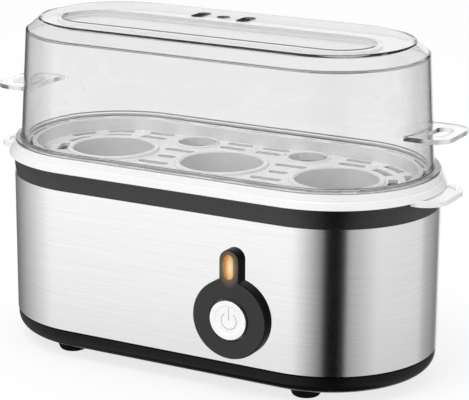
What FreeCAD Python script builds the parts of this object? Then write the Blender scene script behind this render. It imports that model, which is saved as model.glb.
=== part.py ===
import FreeCAD, Part
import math
import os

# Egg cooker for three eggs, in millimetres. Z is up, the floor is Z = 0, X runs along the body and
# the control faces -Y. Every ring-shaped piece is a wall section carried round the same plan:
# a straight run with a round end at each side.

Vec = FreeCAD.Vector
MIDDLE = Vec(0, 0, 0)
RIGHT = Vec(1, 0, 0)
BACK = Vec(0, 1, 0)
FRONT = Vec(0, -1, 0)
UP = Vec(0, 0, 1)
DOWN = Vec(0, 0, -1)

# Plan: half the straight run, from the middle to the centre of a round end
half_span = 49.5

# Clearances
loose_gap = 0.3
moulding_gap = 0.2
screw_gap = 0.05
plunger_gap = 0.06

# Feet
foot_height = 4.5
foot_radius = 7.4
foot_sole_radius = 5.4
foot_sole_round = 1.2
foot_stem_radius = 2.5
foot_head_radius = 3.4
foot_head_height = 1.5
foot_x = 55.0
foot_y = 30.0

# Base
base_radius = 44.2
base_floor = 2.4
base_wall = 2.9
base_edge_round = 6.0
base_inner_round = 4.0
base_rib = 1.4
base_rib_height = 4.0
shadow_groove_height = 0.8
shadow_groove_depth = 0.6
boss_radius = 5.0
boss_height = 11.1
screw_well_radius = 3.6
screw_well_depth = 4.4
vent_length = 16.0
vent_width = 3.0
vent_pitch = 7.0
vents_per_row = 4
vent_row_x = 22.0

# Steel jacket
jacket_radius = 44.5
jacket_sheet = 0.6
jacket_bottom = 13.0
jacket_height = 59.6
hem_width = 1.6

# Upper frame
frame_foot_radius = 44.0
frame_belly_radius = 44.6
frame_shoulder_radius = 44.2
frame_band_height = 8.1
frame_shoulder_drop = 0.5
collar_radius = 43.2
collar_wall = 1.9
ledge_inner_radius = 32.5
ledge_top_rise = 2.4
ledge_thickness = 2.4
frame_skirt_depth = 8.6
frame_skirt_wall = 1.9
post_radius = 3.4
post_ring_radius = 36.6
post_angle = 45.0

# Long screws through the base into the posts
base_screw_radius = 1.75
base_screw_length = 21.0
base_screw_head_radius = 3.1
base_screw_head_height = 2.4

# Heating pan and its seal
gasket_thickness = 1.2
gasket_inner_radius = 33.0
pan_sheet = 0.8
pan_rim_radius = 38.5
pan_mouth_radius = 31.4
pan_floor_radius = 29.0
pan_depth = 13.2
pan_floor_round = 4.8
pan_lip_round = 1.0

# Heater under the pan
spreader_thickness = 2.0
spreader_radius = 22.0
spreader_half_span = 26.0
element_radius = 3.2
element_bend = 16.0
element_half_span = 26.0
element_leg_x = 9.0
element_leg_bend = 8.0
element_leg_drop = 13.8
pin_radius = 1.2
pin_length = 9.0
pin_depth = 4.0

# Straps that hold the pan
strap_x = 23.0
strap_width = 10.0
strap_thickness = 1.2
strap_leg_y = 33.4
strap_foot_reach = 39.0
strap_bend = 2.4
stud_radius = 2.0
stud_tail = 2.2
nut_across_flats = 7.0
nut_height = 3.2

# Thermostat and safety fuse
thermostat_cap_radius = 8.2
thermostat_cap_height = 6.0
thermostat_base_radius = 7.4
thermostat_base_height = 8.0
thermostat_ear_x = 11.6
thermostat_ear_radius = 2.8
thermostat_ear_thickness = 0.8
thermostat_blade_width = 6.3
thermostat_blade_thickness = 0.8
thermostat_blade_length = 8.0
thermostat_blade_x = 4.0
thermostat_screw_radius = 1.2
thermostat_screw_head_radius = 2.4
thermostat_screw_head_height = 1.6
fuse_radius = 2.0
fuse_length = 11.0
fuse_x = -32.0
clip_sheet = 0.6
clip_width = 6.0
clip_flange = 2.5

# Control on the front
control_x = 30.6
control_z = 32.9
bezel_radius = 16.2
bezel_proud = 5.5
bezel_face = 2.2
bezel_edge_round = 0.7
bezel_cavity_radius = 9.9
bezel_collar_wall = 1.2
bezel_collar_length = 2.1
lobe_radius = 4.4
lobe_top = 61.3
lens_z = 54.4
lens_radius = 1.9
lens_height = 9.9
lens_proud = 0.3
lens_flange = 0.8
lens_flange_thickness = 1.0
lens_edge_round = 0.25
bezel_screw_offset = 13.0
bezel_screw_depth = 3.6
bezel_screw_radius = 1.2
bezel_screw_head_radius = 2.4
bezel_screw_head_height = 1.6

# Push button and switch
button_radius = 8.4
button_proud = 0.8
button_gap = 0.35
button_edge_round = 0.8
button_dish_radius = 6.2
button_dish_floor_radius = 5.4
button_dish_depth = 0.3
button_flange = 1.2
button_flange_thickness = 1.5
button_stem_radius = 3.0
button_stem_length = 8.0
plunger_radius = 2.2
plunger_length = 7.0
plunger_well = 7.0
switch_stand_off = 3.0
switch_width = 17.0
switch_height = 14.0
switch_length = 18.0
switch_blade_length = 8.0
switch_blade_width = 6.3
switch_blade_thickness = 0.8
switch_blade_x = 4.5
bracket_sheet = 1.5
bracket_width = 34.0
bracket_height = 24.0
bracket_tongue_width = 12.0
bracket_tongue_top = 60.5
bracket_arm_hook = 1.0
lamp_radius = 2.25
lamp_length = 12.0
lamp_holder_wall = 1.3
lamp_holder_length = 6.4

# Mains entry at the back
gland_x = -22.0
gland_z = 26.0
gland_bore_radius = 3.3
gland_neck_radius = 5.0
gland_flange_radius = 7.0
gland_flange_thickness = 2.0
gland_nose_radius = 4.6
gland_inner_flange = 1.5
gland_edge_round = 0.6
block_length = 26.0
block_depth = 15.0
block_height = 11.0
block_way_pitch = 8.0
block_way_radius = 2.0
block_ways = 3
block_y = 21.0
block_round = 1.0
block_screw_x = 4.0
block_screw_radius = 1.3
block_screw_head_radius = 2.4
block_screw_head_height = 1.8

# Egg tray
tray_skirt_radius = 46.7
tray_step_radius = 45.6
tray_lip_radius = 44.6
tray_lip_width = 0.5
tray_lip_height = 0.6
tray_wall = 1.6
tray_step_width = 0.4
tray_height = 5.1
tray_shelf_inner_radius = 34.9
tray_deck_radius = 34.6
tray_deck_drop = 5.2
egg_pitch = 52.4
egg_seat_radius = 17.0
egg_seat_wall = 2.4
egg_seat_rise = 1.2
egg_seat_depth = 10.0
egg_seat_round = 0.6
steam_hole_radius = 8.1
steam_hole_y = 26.2
steam_collar_wall = 1.3
steam_collar_rise = 0.8
steam_collar_round = 0.4
steam_collar_gap = 0.5
slot_width = 3.8
slot_outer_row = 32.2
slot_inner_row = 25.1
slot_straight_x = (8.5, 47.3)
slot_straight_length = 12.0
slot_outer_angles = (30.0, 60.0)
slot_inner_angles = (17.0, 57.0)
slot_arc_length = 11.5
cross_slot_y = 11.0
cross_slot_length = 14.0
cross_slot_middle_length = 8.5
drain_ring_radius = 37.5
drain_width = 1.3
drain_x = (-43.0, -24.0, -4.0, 20.0, 38.0)
drain_length = (13.0, 5.0, 20.0, 6.0, 13.0)
drain_angles = (-68.0, -38.0, -12.0, 12.0, 38.0, 68.0)
drain_arc_length = 14.0
tray_tab_overhang = 7.1
tray_tab_half_width = 16.0
tray_tab_round = 10.0
tray_tab_thickness = 2.0
tray_tab_drop = 1.5
tray_tab_border = 2.6
tray_tab_dish = 0.8

# Lid
lid_flange_radius = 43.8
lid_flange_thickness = 1.5
lid_foot_radius = 41.4
lid_shoulder_radius = 38.7
lid_shoulder_rise = 45.7
lid_top_radius = 32.8
lid_crown = 5.0
lid_wall = 2.0
lid_foot_round = 0.8
lid_edge_round = 0.8
lid_tab_rise = 18.7
lid_tab_thickness = 1.8
lid_tab_overhang = 11.2
lid_tab_half_width = 14.5
lid_tab_round = 8.0
lid_tab_hole_inset = 7.9
lid_tab_hole_radius = 3.6
lid_tab_hole_length = 15.0
recess_depth = 1.5
recess_half_length = 70.5
recess_half_width = 15.0
recess_y = -6.4
vent_hole_x = -10.0
vent_hole_y = 18.5
vent_hole_radius = 2.8
vent_slot_offset = 10.6
vent_slot_radius = 2.9
vent_slot_length = 11.3

# Heights that follow from the sizes above
base_bottom = foot_height
base_inside = base_bottom + base_floor
boss_top = base_inside + boss_height
jacket_top = jacket_bottom + jacket_height
frame_top = jacket_top + frame_band_height
ledge_top = jacket_top + ledge_top_rise
ledge_bottom = ledge_top - ledge_thickness
pan_rim_bottom = ledge_top + gasket_thickness
pan_rim_top = pan_rim_bottom + pan_sheet
pan_bottom = pan_rim_bottom - pan_depth
spreader_bottom = pan_bottom - spreader_thickness
element_z = spreader_bottom - element_radius - screw_gap
strap_top = element_z - element_radius - screw_gap
strap_bottom = strap_top - strap_thickness
tray_skirt_bottom = frame_top
tray_shelf = tray_skirt_bottom + tray_height
tray_seat = tray_shelf - tray_wall
tray_deck = tray_shelf - tray_deck_drop
lid_bottom = tray_shelf
lid_flange_top = lid_bottom + lid_flange_thickness
lid_shoulder = lid_flange_top + lid_shoulder_rise
lid_top = lid_shoulder + lid_crown

# Depths in front of the middle plane, for the control
steel_front = jacket_radius
steel_back = jacket_radius - jacket_sheet
bezel_front = steel_front + bezel_proud
bezel_inside = bezel_front - bezel_face
button_front = bezel_front + button_proud
button_flange_front = bezel_inside - loose_gap
button_flange_back = button_flange_front - button_flange_thickness
button_stem_end = button_flange_back - button_stem_length
switch_front = button_stem_end - switch_stand_off
switch_rear = switch_front - switch_length
bracket_back = steel_back - bracket_sheet
bezel_collar_radius = bezel_cavity_radius + bezel_collar_wall
lens_flange_front = bezel_inside
lens_flange_back = lens_flange_front - lens_flange_thickness


def corner_cut(before, corner, after, radius):
    """Start, middle and end of the arc that rounds one corner."""
    to_before = (before - corner).normalize()
    to_after = (after - corner).normalize()
    half_angle = to_before.getAngle(to_after) / 2
    reach = radius / math.tan(half_angle)
    inward = (to_before + to_after).normalize()
    middle = corner + inward * (radius / math.sin(half_angle) - radius)
    return corner + to_before * reach, middle, corner + to_after * reach


def rounded_edges(points, closed):
    """Lines and tangent arcs through corner points given as (point, rounding)."""
    count = len(points)
    cuts = []
    for i, (corner, radius) in enumerate(points):
        if radius:
            following = points[(i + 1) % count][0]
            cuts.append(corner_cut(points[i - 1][0], corner, following, radius))
        else:
            cuts.append((corner, None, corner))
    edges = []
    for i, (start, middle, end) in enumerate(cuts):
        if middle is not None:
            edges.append(Part.Arc(start, middle, end).toShape())
        if closed or i + 1 < count:
            following = cuts[(i + 1) % count][0]
            if end.distanceToPoint(following) > 1e-6:
                edges.append(Part.makeLine(end, following))
    return edges


def section(corners):
    """Face of a wall section from (radius, height, rounding) corners, at the front of the body."""
    points = []
    for corner in corners:
        rounding = corner[2] if len(corner) > 2 else 0
        points.append((Vec(0, -corner[0], corner[1]), rounding))
    return Part.Face(Part.Wire(rounded_edges(points, True)))


def one_solid(shape):
    """The single solid of a fused or cut shape, with its split faces joined."""
    return shape.removeSplitter().Solids[0]


def around(corners):
    """Carry a wall section round the body's plan."""
    face = section(corners)
    run = face.translated(Vec(-half_span, 0, 0)).extrude(Vec(2 * half_span, 0, 0))
    end_centre = Vec(half_span, 0, 0)
    end = face.translated(end_centre).revolve(end_centre, UP, 180)
    front = run.fuse(end)
    rear = front.copy()
    rear.rotate(MIDDLE, UP, 180)
    return one_solid(front.fuse(rear))


def turned(corners):
    """Solid of revolution about Z from (radius, height, rounding) corners."""
    return section(corners).revolve(MIDDLE, UP, 360)


def turned_at(corners, x, y):
    """Turned piece that stands at a place on the plan."""
    return turned(corners).translated(Vec(x, y, 0))


def turned_facing_front(corners, x, z):
    """Turned piece whose heights are depths in front of the middle plane."""
    shape = turned(corners)
    shape.rotate(MIDDLE, RIGHT, 90)
    return shape.translated(Vec(x, 0, z))


def turned_facing_back(corners, x, z):
    """Turned piece whose heights are depths behind the middle plane."""
    shape = turned(corners)
    shape.rotate(MIDDLE, RIGHT, -90)
    return shape.translated(Vec(x, 0, z))


def obround(start, end, radius, sweep):
    """Round-ended bar between two centres, extruded along a sweep vector."""
    along = (end - start).normalize()
    side = along.cross(sweep).normalize() * radius
    tip = along * radius
    edges = [
        Part.makeLine(start + side, end + side),
        Part.Arc(end + side, end + tip, end - side).toShape(),
        Part.makeLine(end - side, start - side),
        Part.Arc(start - side, start - tip, start + side).toShape(),
    ]
    return Part.Face(Part.Wire(edges)).extrude(sweep)


def plate(x_low, x_high, y_low, y_high, z_low, z_high):
    """Straight-edged block between two corners."""
    return Part.makeBox(x_high - x_low, y_high - y_low, z_high - z_low, Vec(x_low, y_low, z_low))


def rounded_plate(x_low, x_high, y_low, y_high, rounding, z_low, z_high):
    """Flat plate with rounded corners."""
    points = [
        (Vec(x_low, y_low, z_low), rounding),
        (Vec(x_high, y_low, z_low), rounding),
        (Vec(x_high, y_high, z_low), rounding),
        (Vec(x_low, y_high, z_low), rounding),
    ]
    return Part.Face(Part.Wire(rounded_edges(points, True))).extrude(UP * (z_high - z_low))


def arc_slot(ring_radius, width, angle, length, z_low, z_high):
    """Cutter for a curved slot round the right-hand end, centred on an angle from +X."""
    span = math.degrees(length / ring_radius)
    inner = ring_radius - width / 2
    points = [
        Vec(half_span + inner, 0, z_low),
        Vec(half_span + inner + width, 0, z_low),
        Vec(half_span + inner + width, 0, z_high),
        Vec(half_span + inner, 0, z_high),
    ]
    face = Part.Face(Part.makePolygon(points + points[:1]))
    cutter = face.revolve(Vec(half_span, 0, 0), UP, span)
    cutter.rotate(Vec(half_span, 0, 0), UP, angle - span / 2)
    return cutter


def straight_slot(x, y, length, width, z_low, z_high):
    """Cutter for a round-ended slot that runs along X."""
    reach = Vec((length - width) / 2, 0, 0)
    centre = Vec(x, y, z_low)
    return obround(centre - reach, centre + reach, width / 2, UP * (z_high - z_low))


def bent_tube(points, radius):
    """Solid rod along straight runs and tangent bends given as (point, bend radius)."""
    path = Part.Wire(rounded_edges(points, False))
    first = points[0][0]
    ring = Part.Wire(Part.makeCircle(radius, first, points[1][0] - first))
    return path.makePipeShell([ring], True, False).Solids[0]


def pan_head_screw(seat, along, shank_radius, shank_length, head_radius, head_height):
    """Screw whose head sits on a seat and whose shank runs along a direction."""
    head = Part.makeCylinder(head_radius, head_height, seat - along * head_height, along)
    shank = Part.makeCylinder(shank_radius, shank_length, seat, along)
    return one_solid(head.fuse(shank))


def mirrored_left(shape):
    return shape.mirror(MIDDLE, RIGHT)


def mirrored_back(shape):
    return shape.mirror(MIDDLE, BACK)


def in_four_quarters(shape):
    """The shape and its mirror images across the two middle planes."""
    pair = [shape, mirrored_left(shape)]
    return pair + [mirrored_back(each) for each in pair]


def post_places():
    """Plan positions of the four screw posts, on the round ends."""
    x = half_span + post_ring_radius * math.cos(math.radians(post_angle))
    y = post_ring_radius * math.sin(math.radians(post_angle))
    return [(sx * x, sy * y) for sx in (-1, 1) for sy in (-1, 1)]


def foot(x, y):
    stem_top = base_inside
    return turned_at([
        (0, 0),
        (foot_sole_radius, 0, foot_sole_round),
        (foot_radius, foot_height),
        (foot_stem_radius, foot_height),
        (foot_stem_radius, stem_top),
        (foot_head_radius, stem_top),
        (foot_stem_radius, stem_top + foot_head_height),
        (0, stem_top + foot_head_height),
    ], x, y)


def base_pan():
    wall_inside = base_radius - base_wall
    rib_outside = wall_inside + base_rib
    groove_radius = base_radius - shadow_groove_depth
    groove_bottom = jacket_bottom - shadow_groove_height
    pan = around([
        (0, base_bottom),
        (base_radius, base_bottom, base_edge_round),
        (base_radius, groove_bottom),
        (groove_radius, groove_bottom),
        (groove_radius, jacket_bottom),
        (rib_outside, jacket_bottom),
        (rib_outside, jacket_bottom + base_rib_height),
        (wall_inside, jacket_bottom + base_rib_height),
        (wall_inside, base_inside, base_inner_round),
        (0, base_inside),
    ])
    bosses = []
    holes = []
    well_top = base_bottom + screw_well_depth
    hole_radius = base_screw_radius + screw_gap
    for x, y in post_places():
        bosses.append(Part.makeCylinder(boss_radius, boss_top - base_inside, Vec(x, y, base_inside)))
        holes.append(Part.makeCylinder(screw_well_radius, screw_well_depth, Vec(x, y, base_bottom)))
        holes.append(Part.makeCylinder(hole_radius, boss_top - well_top, Vec(x, y, well_top)))
    for sx in (-1, 1):
        for sy in (-1, 1):
            place = Vec(sx * foot_x, sy * foot_y, base_bottom)
            holes.append(Part.makeCylinder(foot_stem_radius + screw_gap, base_floor, place))
        for i in range(vents_per_row):
            y = (i - (vents_per_row - 1) / 2) * vent_pitch
            holes.append(straight_slot(sx * vent_row_x, y, vent_length, vent_width, base_bottom, base_inside))
    for x, y in block_screw_places():
        holes.append(Part.makeCylinder(block_screw_radius + screw_gap, base_floor, Vec(x, y, base_bottom)))
    return one_solid(pan.fuse(bosses).cut(holes))


def base_screws():
    seat_z = base_bottom + screw_well_depth
    screws = []
    for x, y in post_places():
        screws.append(pan_head_screw(Vec(x, y, seat_z), UP, base_screw_radius, base_screw_length,
                                     base_screw_head_radius, base_screw_head_height))
    return Part.makeCompound(screws)


def bezel_screw_places():
    return [control_x - bezel_screw_offset, control_x + bezel_screw_offset]


def lens_ends(depth):
    """Centres of the two round ends of the lens, at a depth in front of the middle plane."""
    reach = lens_height / 2 - lens_radius
    return Vec(control_x, -depth, lens_z - reach), Vec(control_x, -depth, lens_z + reach)


def steel_jacket():
    inside = jacket_radius - jacket_sheet
    hem = jacket_radius - hem_width
    jacket = around([
        (jacket_radius, jacket_bottom),
        (jacket_radius, jacket_top),
        (hem, jacket_top),
        (hem, jacket_top - jacket_sheet),
        (inside, jacket_top - jacket_sheet),
        (inside, jacket_bottom + jacket_sheet),
        (hem, jacket_bottom + jacket_sheet),
        (hem, jacket_bottom),
    ])
    through = BACK * jacket_sheet
    button_place = Vec(control_x, -steel_front, control_z)
    gland_place = Vec(gland_x, steel_back, gland_z)
    low, high = lens_ends(steel_front)
    cuts = [
        Part.makeCylinder(bezel_collar_radius + moulding_gap, jacket_sheet, button_place, BACK),
        obround(low, high, lens_radius + lens_flange + moulding_gap, through),
        Part.makeCylinder(gland_neck_radius + screw_gap, jacket_sheet, gland_place, BACK),
    ]
    for x in bezel_screw_places():
        place = Vec(x, -steel_front, control_z)
        cuts.append(Part.makeCylinder(bezel_screw_radius + moulding_gap, jacket_sheet, place, BACK))
    return one_solid(jacket.cut(cuts))


def upper_frame():
    skirt_outside = jacket_radius - hem_width - moulding_gap
    skirt_inside = skirt_outside - frame_skirt_wall
    collar_inside = collar_radius - collar_wall
    frame = around([
        (frame_foot_radius, jacket_top),
        (frame_belly_radius, (jacket_top + frame_top) / 2, frame_band_height),
        (frame_shoulder_radius, frame_top - frame_shoulder_drop),
        (collar_radius, frame_top),
        (collar_radius, tray_seat),
        (collar_inside, tray_seat),
        (collar_inside, ledge_top),
        (ledge_inner_radius, ledge_top),
        (ledge_inner_radius, ledge_bottom),
        (skirt_inside, ledge_bottom),
        (skirt_inside, jacket_top - frame_skirt_depth),
        (skirt_outside, jacket_top - frame_skirt_depth),
        (skirt_outside, jacket_top),
    ])
    posts = []
    pilots = []
    for x, y in post_places():
        posts.append(Part.makeCylinder(post_radius, ledge_top - boss_top, Vec(x, y, boss_top)))
        depth = base_bottom + screw_well_depth + base_screw_length + loose_gap - boss_top
        pilots.append(Part.makeCylinder(base_screw_radius + screw_gap, depth, Vec(x, y, boss_top)))
    return one_solid(frame.fuse(posts).cut(pilots))


def water_pan():
    mouth_inside = pan_mouth_radius - pan_sheet
    floor_inside = pan_floor_radius - pan_sheet
    return around([
        (0, pan_bottom),
        (pan_floor_radius, pan_bottom, pan_floor_round),
        (pan_mouth_radius, pan_rim_bottom, pan_lip_round),
        (pan_rim_radius, pan_rim_bottom),
        (pan_rim_radius, pan_rim_top),
        (mouth_inside, pan_rim_top, pan_lip_round + pan_sheet),
        (floor_inside, pan_bottom + pan_sheet, pan_floor_round - pan_sheet),
        (0, pan_bottom + pan_sheet),
    ])


def pan_gasket():
    return around([
        (gasket_inner_radius, ledge_top),
        (pan_rim_radius, ledge_top),
        (pan_rim_radius, pan_rim_bottom),
        (gasket_inner_radius, pan_rim_bottom),
    ])


def heat_spreader():
    reach = Vec(spreader_half_span, 0, 0)
    level = Vec(0, 0, spreader_bottom)
    body = obround(level - reach, level + reach, spreader_radius, UP * spreader_thickness)
    pilots = []
    for sx in (-1, 1):
        place = level + Vec(sx * thermostat_ear_x, 0, 0)
        pilots.append(Part.makeCylinder(thermostat_screw_radius + screw_gap, spreader_thickness, place))
    return one_solid(body.cut(pilots))


def heating_element():
    far_x = element_half_span + element_bend
    leg_end = element_z - element_leg_drop
    return bent_tube([
        (Vec(element_leg_x, element_bend, leg_end), 0),
        (Vec(element_leg_x, element_bend, element_z), element_leg_bend),
        (Vec(far_x, element_bend, element_z), element_bend),
        (Vec(far_x, -element_bend, element_z), element_bend),
        (Vec(-far_x, -element_bend, element_z), element_bend),
        (Vec(-far_x, element_bend, element_z), element_bend),
        (Vec(-element_leg_x, element_bend, element_z), element_leg_bend),
        (Vec(-element_leg_x, element_bend, leg_end), 0),
    ], element_radius)


def element_with_pin_wells():
    wells = []
    for sx in (-1, 1):
        end = Vec(sx * element_leg_x, element_bend, element_z - element_leg_drop)
        wells.append(Part.makeCylinder(pin_radius, pin_depth, end))
    return one_solid(heating_element().cut(wells))


def element_pins():
    pins = []
    for sx in (-1, 1):
        end = Vec(sx * element_leg_x, element_bend, element_z - element_leg_drop - pin_length)
        pins.append(Part.makeCylinder(pin_radius, pin_length + pin_depth, end))
    return Part.makeCompound(pins)


def pan_clamp(x):
    leg_inside = strap_leg_y - strap_thickness
    foot_bottom = ledge_bottom - strap_thickness
    outline = []
    for sy in (-1, 1):
        half = [
            (Vec(0, sy * leg_inside, strap_top), strap_bend - strap_thickness),
            (Vec(0, sy * leg_inside, ledge_bottom), strap_bend),
            (Vec(0, sy * strap_foot_reach, ledge_bottom), 0),
            (Vec(0, sy * strap_foot_reach, foot_bottom), 0),
            (Vec(0, sy * strap_leg_y, foot_bottom), strap_bend - strap_thickness),
            (Vec(0, sy * strap_leg_y, strap_bottom), strap_bend),
        ]
        outline.append(half)
    points = outline[0][::-1][:-1] + [outline[0][0]] + outline[1]
    face = Part.Face(Part.Wire(rounded_edges(points, True)))
    strap = face.translated(Vec(x - strap_width / 2, 0, 0)).extrude(RIGHT * strap_width)
    hole = Part.makeCylinder(stud_radius + moulding_gap, strap_thickness, Vec(x, 0, strap_bottom))
    return one_solid(strap.cut(hole))


def clamp_studs():
    tail = strap_bottom - nut_height - stud_tail
    studs = []
    for sx in (-1, 1):
        studs.append(Part.makeCylinder(stud_radius, spreader_bottom - tail, Vec(sx * strap_x, 0, tail)))
    return Part.makeCompound(studs)


def clamp_nuts():
    nuts = []
    circumradius = nut_across_flats / math.sqrt(3)
    for sx in (-1, 1):
        centre = Vec(sx * strap_x, 0, strap_bottom - nut_height)
        corners = []
        for i in range(7):
            angle = math.radians(60 * i)
            corners.append(centre + Vec(math.cos(angle), math.sin(angle), 0) * circumradius)
        body = Part.Face(Part.makePolygon(corners)).extrude(UP * nut_height)
        bore = Part.makeCylinder(stud_radius + screw_gap, nut_height, centre)
        nuts.append(one_solid(body.cut(bore)))
    return Part.makeCompound(nuts)


def thermostat():
    cap_bottom = spreader_bottom - thermostat_cap_height
    base_end = cap_bottom - thermostat_base_height
    body = turned([
        (0, base_end),
        (thermostat_base_radius, base_end),
        (thermostat_base_radius, cap_bottom),
        (thermostat_cap_radius, cap_bottom),
        (thermostat_cap_radius, spreader_bottom),
        (0, spreader_bottom),
    ])
    ear_level = Vec(0, 0, spreader_bottom - thermostat_ear_thickness)
    reach = Vec(thermostat_ear_x, 0, 0)
    ears = obround(ear_level - reach, ear_level + reach, thermostat_ear_radius, UP * thermostat_ear_thickness)
    holes = []
    blades = []
    for sx in (-1, 1):
        place = ear_level + reach * sx
        holes.append(Part.makeCylinder(thermostat_screw_radius + screw_gap, thermostat_ear_thickness, place))
        x = sx * thermostat_blade_x
        blades.append(plate(x - thermostat_blade_thickness / 2, x + thermostat_blade_thickness / 2,
                            -thermostat_blade_width / 2, thermostat_blade_width / 2,
                            base_end - thermostat_blade_length, base_end))
    return one_solid(body.fuse([ears] + blades).cut(holes))


def thermostat_screws():
    screws = []
    seat_z = spreader_bottom - thermostat_ear_thickness
    length = thermostat_ear_thickness + spreader_thickness
    for sx in (-1, 1):
        seat = Vec(sx * thermostat_ear_x, 0, seat_z)
        screws.append(pan_head_screw(seat, UP, thermostat_screw_radius, length,
                                     thermostat_screw_head_radius, thermostat_screw_head_height))
    return Part.makeCompound(screws)


def thermal_fuse():
    start = Vec(fuse_x, -fuse_length / 2, spreader_bottom - fuse_radius - loose_gap)
    return Part.makeCylinder(fuse_radius, fuse_length, start, BACK)


def fuse_clip():
    inside = fuse_radius + loose_gap
    outside = inside + clip_sheet
    crown = spreader_bottom - 2 * inside - clip_sheet
    flange_top = spreader_bottom
    flange_bottom = flange_top - clip_sheet
    reach = outside + clip_flange
    points = [
        (Vec(-reach, 0, flange_top), 0),
        (Vec(-reach, 0, flange_bottom), 0),
        (Vec(-outside, 0, flange_bottom), 0),
        (Vec(-outside, 0, crown), clip_sheet * 2),
        (Vec(outside, 0, crown), clip_sheet * 2),
        (Vec(outside, 0, flange_bottom), 0),
        (Vec(reach, 0, flange_bottom), 0),
        (Vec(reach, 0, flange_top), 0),
        (Vec(inside, 0, flange_top), 0),
        (Vec(inside, 0, crown + clip_sheet), clip_sheet),
        (Vec(-inside, 0, crown + clip_sheet), clip_sheet),
        (Vec(-inside, 0, flange_top), 0),
    ]
    face = Part.Face(Part.Wire(rounded_edges(points, True)))
    return face.extrude(BACK * clip_width).translated(Vec(fuse_x, -clip_width / 2, 0))


def control_bezel():
    root = Vec(control_x, -steel_front, control_z)
    lobe_end = Vec(control_x, -steel_front, lobe_top - lobe_radius)
    disc = Part.makeCylinder(bezel_radius, bezel_proud, root, FRONT)
    lobe = obround(root, lobe_end, lobe_radius, FRONT * bezel_proud)
    body = one_solid(disc.fuse(lobe))
    rim = [e for e in body.Edges if max(v.Y for v in e.Vertexes) < -bezel_front + 1e-6]
    body = body.makeFillet(bezel_edge_round, rim)
    collar = Part.makeCylinder(bezel_collar_radius, bezel_collar_length, root, BACK)
    cavity_start = Vec(control_x, -bezel_inside, control_z)
    cavity_length = bezel_inside - steel_front + bezel_collar_length
    cavity = Part.makeCylinder(bezel_cavity_radius, cavity_length, cavity_start, BACK)
    face_start = Vec(control_x, -bezel_front, control_z)
    button_hole = Part.makeCylinder(button_radius + button_gap, bezel_face, face_start, BACK)
    low, high = lens_ends(bezel_front)
    lens_hole = obround(low, high, lens_radius + screw_gap, BACK * bezel_face)
    low, high = lens_ends(lens_flange_front)
    lens_bed = obround(low, high, lens_radius + lens_flange + screw_gap, BACK * (bezel_inside - steel_front))
    cuts = [cavity, button_hole, lens_hole, lens_bed]
    for x in bezel_screw_places():
        place = Vec(x, -steel_front, control_z)
        depth = bezel_screw_depth + loose_gap
        cuts.append(Part.makeCylinder(bezel_screw_radius + screw_gap, depth, place, FRONT))
    return one_solid(body.fuse(collar).cut(cuts))


def indicator_lens():
    low, high = lens_ends(lens_flange_front)
    window = obround(low, high, lens_radius, FRONT * (bezel_face + lens_proud))
    rim = [e for e in window.Edges if max(v.Y for v in e.Vertexes) < -bezel_front - lens_proud + 1e-6]
    window = window.makeFillet(lens_edge_round, rim)
    low, high = lens_ends(lens_flange_back)
    flange = obround(low, high, lens_radius + lens_flange, FRONT * lens_flange_thickness)
    return one_solid(window.fuse(flange))


def indicator_lamp():
    front = lens_flange_back - loose_gap
    return turned_facing_front([
        (0, front - lamp_length),
        (lamp_radius, front - lamp_length),
        (lamp_radius, front, lamp_radius / 2),
        (0, front),
    ], control_x, lens_z)


def switch_bracket():
    low = control_z - bracket_height / 2
    high = control_z + bracket_height / 2
    back_plate = plate(control_x - bracket_width / 2, control_x + bracket_width / 2,
                       -steel_back, -bracket_back, low, high)
    tongue = plate(control_x - bracket_tongue_width / 2, control_x + bracket_tongue_width / 2,
                   -steel_back, -bracket_back, high, bracket_tongue_top)
    half = switch_width / 2
    rear = switch_rear - bracket_sheet
    pieces = [tongue]
    for sx in (-1, 1):
        inner = control_x + sx * half
        outer = control_x + sx * (half + bracket_sheet)
        hook = control_x + sx * (half - bracket_arm_hook)
        pieces.append(plate(min(inner, outer), max(inner, outer), -bracket_back, -rear, low, high))
        pieces.append(plate(min(hook, inner), max(hook, inner), -switch_rear, -rear, low, high))
    stop_front = switch_front + bracket_sheet
    pieces.append(plate(control_x - half, control_x + half, -stop_front, -switch_front, low, high))
    holder_end = bracket_back - lamp_holder_length
    holder = Part.makeCylinder(lamp_radius + lamp_holder_wall, lamp_holder_length,
                               Vec(control_x, -bracket_back, lens_z), BACK)
    pieces.append(holder)
    collar_place = Vec(control_x, -steel_back, control_z)
    stem_place = Vec(control_x, -stop_front, control_z)
    lamp_place = Vec(control_x, -steel_back, lens_z)
    cuts = [
        Part.makeCylinder(bezel_collar_radius + moulding_gap, bracket_sheet, collar_place, BACK),
        Part.makeCylinder(button_stem_radius + loose_gap, bracket_sheet, stem_place, BACK),
        Part.makeCylinder(lamp_radius + screw_gap, steel_back - holder_end, lamp_place, BACK),
    ]
    for x in bezel_screw_places():
        place = Vec(x, -steel_back, control_z)
        cuts.append(Part.makeCylinder(bezel_screw_radius + moulding_gap, bracket_sheet, place, BACK))
    return one_solid(back_plate.fuse(pieces).cut(cuts))


def bracket_screws():
    length = bracket_sheet + jacket_sheet + bezel_screw_depth
    screws = []
    for x in bezel_screw_places():
        screws.append(pan_head_screw(Vec(x, -bracket_back, control_z), FRONT, bezel_screw_radius, length,
                                     bezel_screw_head_radius, bezel_screw_head_height))
    return Part.makeCompound(screws)


def switch_body():
    half = switch_width / 2
    bottom = control_z - switch_height / 2
    top = control_z + switch_height / 2
    body = plate(control_x - half, control_x + half, -switch_front, -switch_rear, bottom, top)
    blades = []
    for sx in (-1, 1):
        x = control_x + sx * switch_blade_x
        blades.append(plate(x - switch_blade_thickness / 2, x + switch_blade_thickness / 2,
                            -switch_rear, -switch_rear + switch_blade_length,
                            control_z - switch_blade_width / 2, control_z + switch_blade_width / 2))
    well_mouth = Vec(control_x, -switch_front, control_z)
    well = Part.makeCylinder(plunger_radius + plunger_gap, plunger_well, well_mouth, BACK)
    return one_solid(body.fuse(blades).cut(well))


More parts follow.
